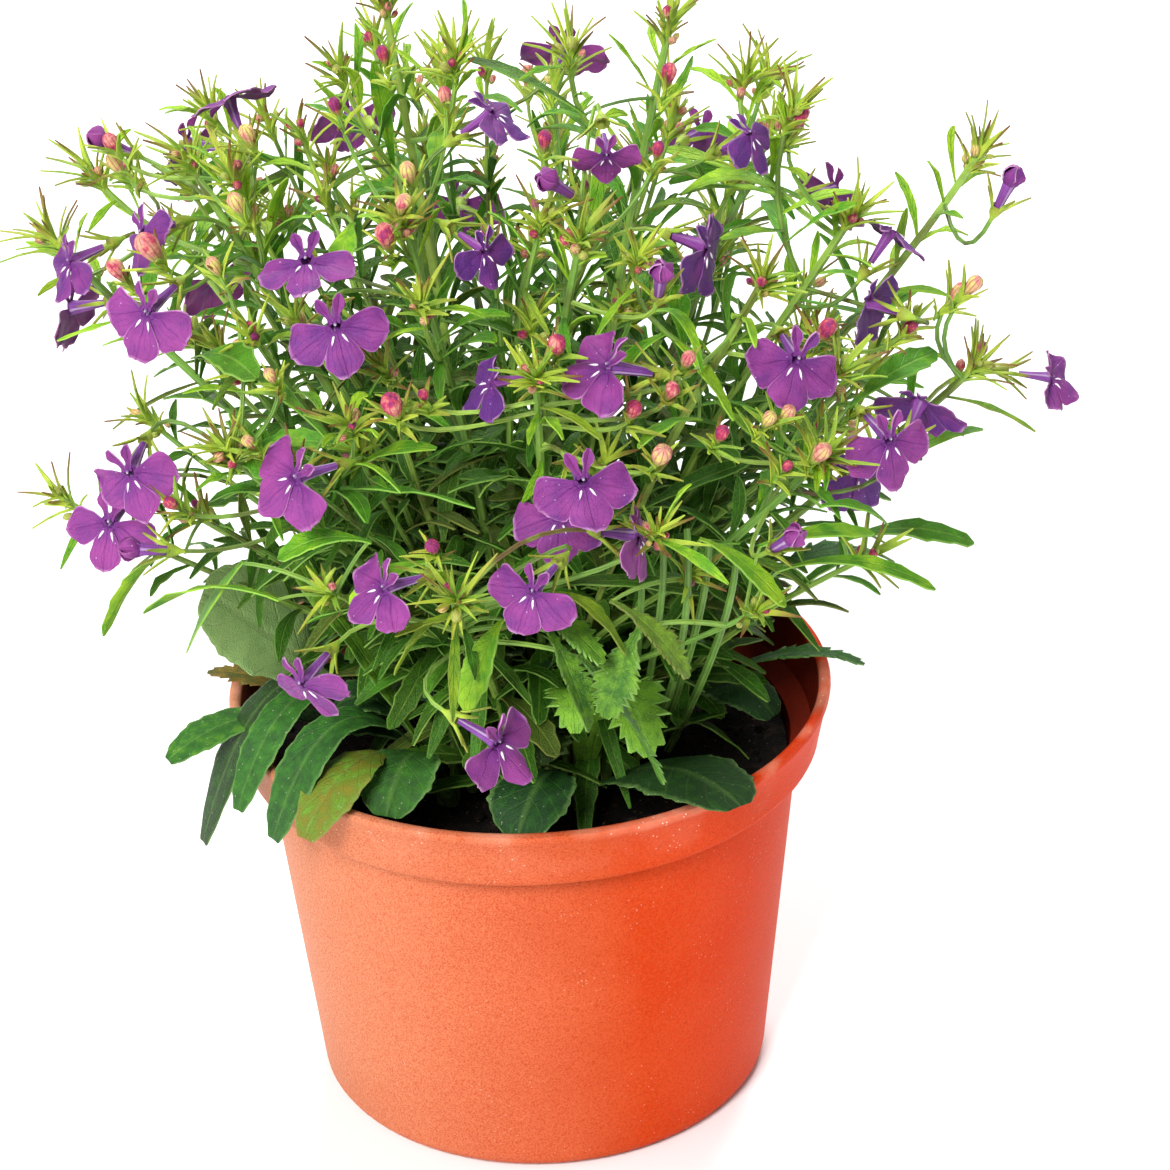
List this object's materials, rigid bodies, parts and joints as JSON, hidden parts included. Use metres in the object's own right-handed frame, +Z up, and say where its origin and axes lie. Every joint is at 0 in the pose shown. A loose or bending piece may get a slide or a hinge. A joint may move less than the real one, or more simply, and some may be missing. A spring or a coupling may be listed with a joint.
{
  "type": "potted trailing lobelia",
  "caption": "Trailing lobelia in a round plastic pot, with narrow toothed leaves, thin branching stems and small violet flowers.",
  "frame": {"origin": "centre of the pot's flat underside", "axes": "+Z up along the pot's axis, -Y towards the front of the plant, +X to its right"},
  "size_m": [0.2049, 0.1784, 0.2341],
  "materials": {
    "pot": "matt, faintly grained",
    "soil": "rough and dark",
    "rosette": "soft sheen",
    "stem": "soft sheen",
    "petal": "velvety"
  },
  "bodies": {
    "root": {"pot": "pot", "soil": "soil", "rosette_1": "rosette", "rosette_2": "rosette", "rosette_3": "rosette", "rosette_4": "rosette", "rosette_5": "rosette", "leafy_stem_01": "stem", "leafy_stem_02": "stem", "leafy_stem_03": "stem", "leafy_stem_04": "stem", "leafy_stem_05": "stem", "leafy_stem_06": "stem", "leafy_stem_07": "stem", "leafy_stem_08": "stem", "leafy_stem_09": "stem", "leafy_stem_10": "stem", "leafy_stem_11": "stem", "leafy_stem_12": "stem", "leafy_stem_13": "stem", "leafy_stem_14": "stem", "leafy_stem_15": "stem", "leafy_stem_16": "stem", "leafy_stem_17": "stem", "leafy_stem_18": "stem", "bloom_01": "petal", "bloom_02": "petal", "bloom_03": "petal", "bloom_04": "petal", "bloom_05": "petal", "bloom_06": "petal", "bloom_07": "petal", "bloom_08": "petal", "bloom_09": "petal", "bloom_10": "petal", "bloom_11": "petal", "bloom_12": "petal", "bloom_13": "petal", "bloom_14": "petal", "bloom_15": "petal", "bloom_16": "petal", "bloom_17": "petal", "bloom_18": "petal", "bloom_19": "petal", "bloom_20": "petal", "bloom_21": "petal", "bloom_22": "petal", "bloom_23": "petal", "bloom_24": "petal", "bloom_25": "petal", "bloom_26": "petal", "bloom_27": "petal", "bloom_28": "petal", "bloom_29": "petal", "bloom_30": "petal", "bloom_31": "petal", "bloom_32": "petal", "bloom_33": "petal", "bloom_34": "petal", "bloom_35": "petal"}
  },
  "joints": []
}
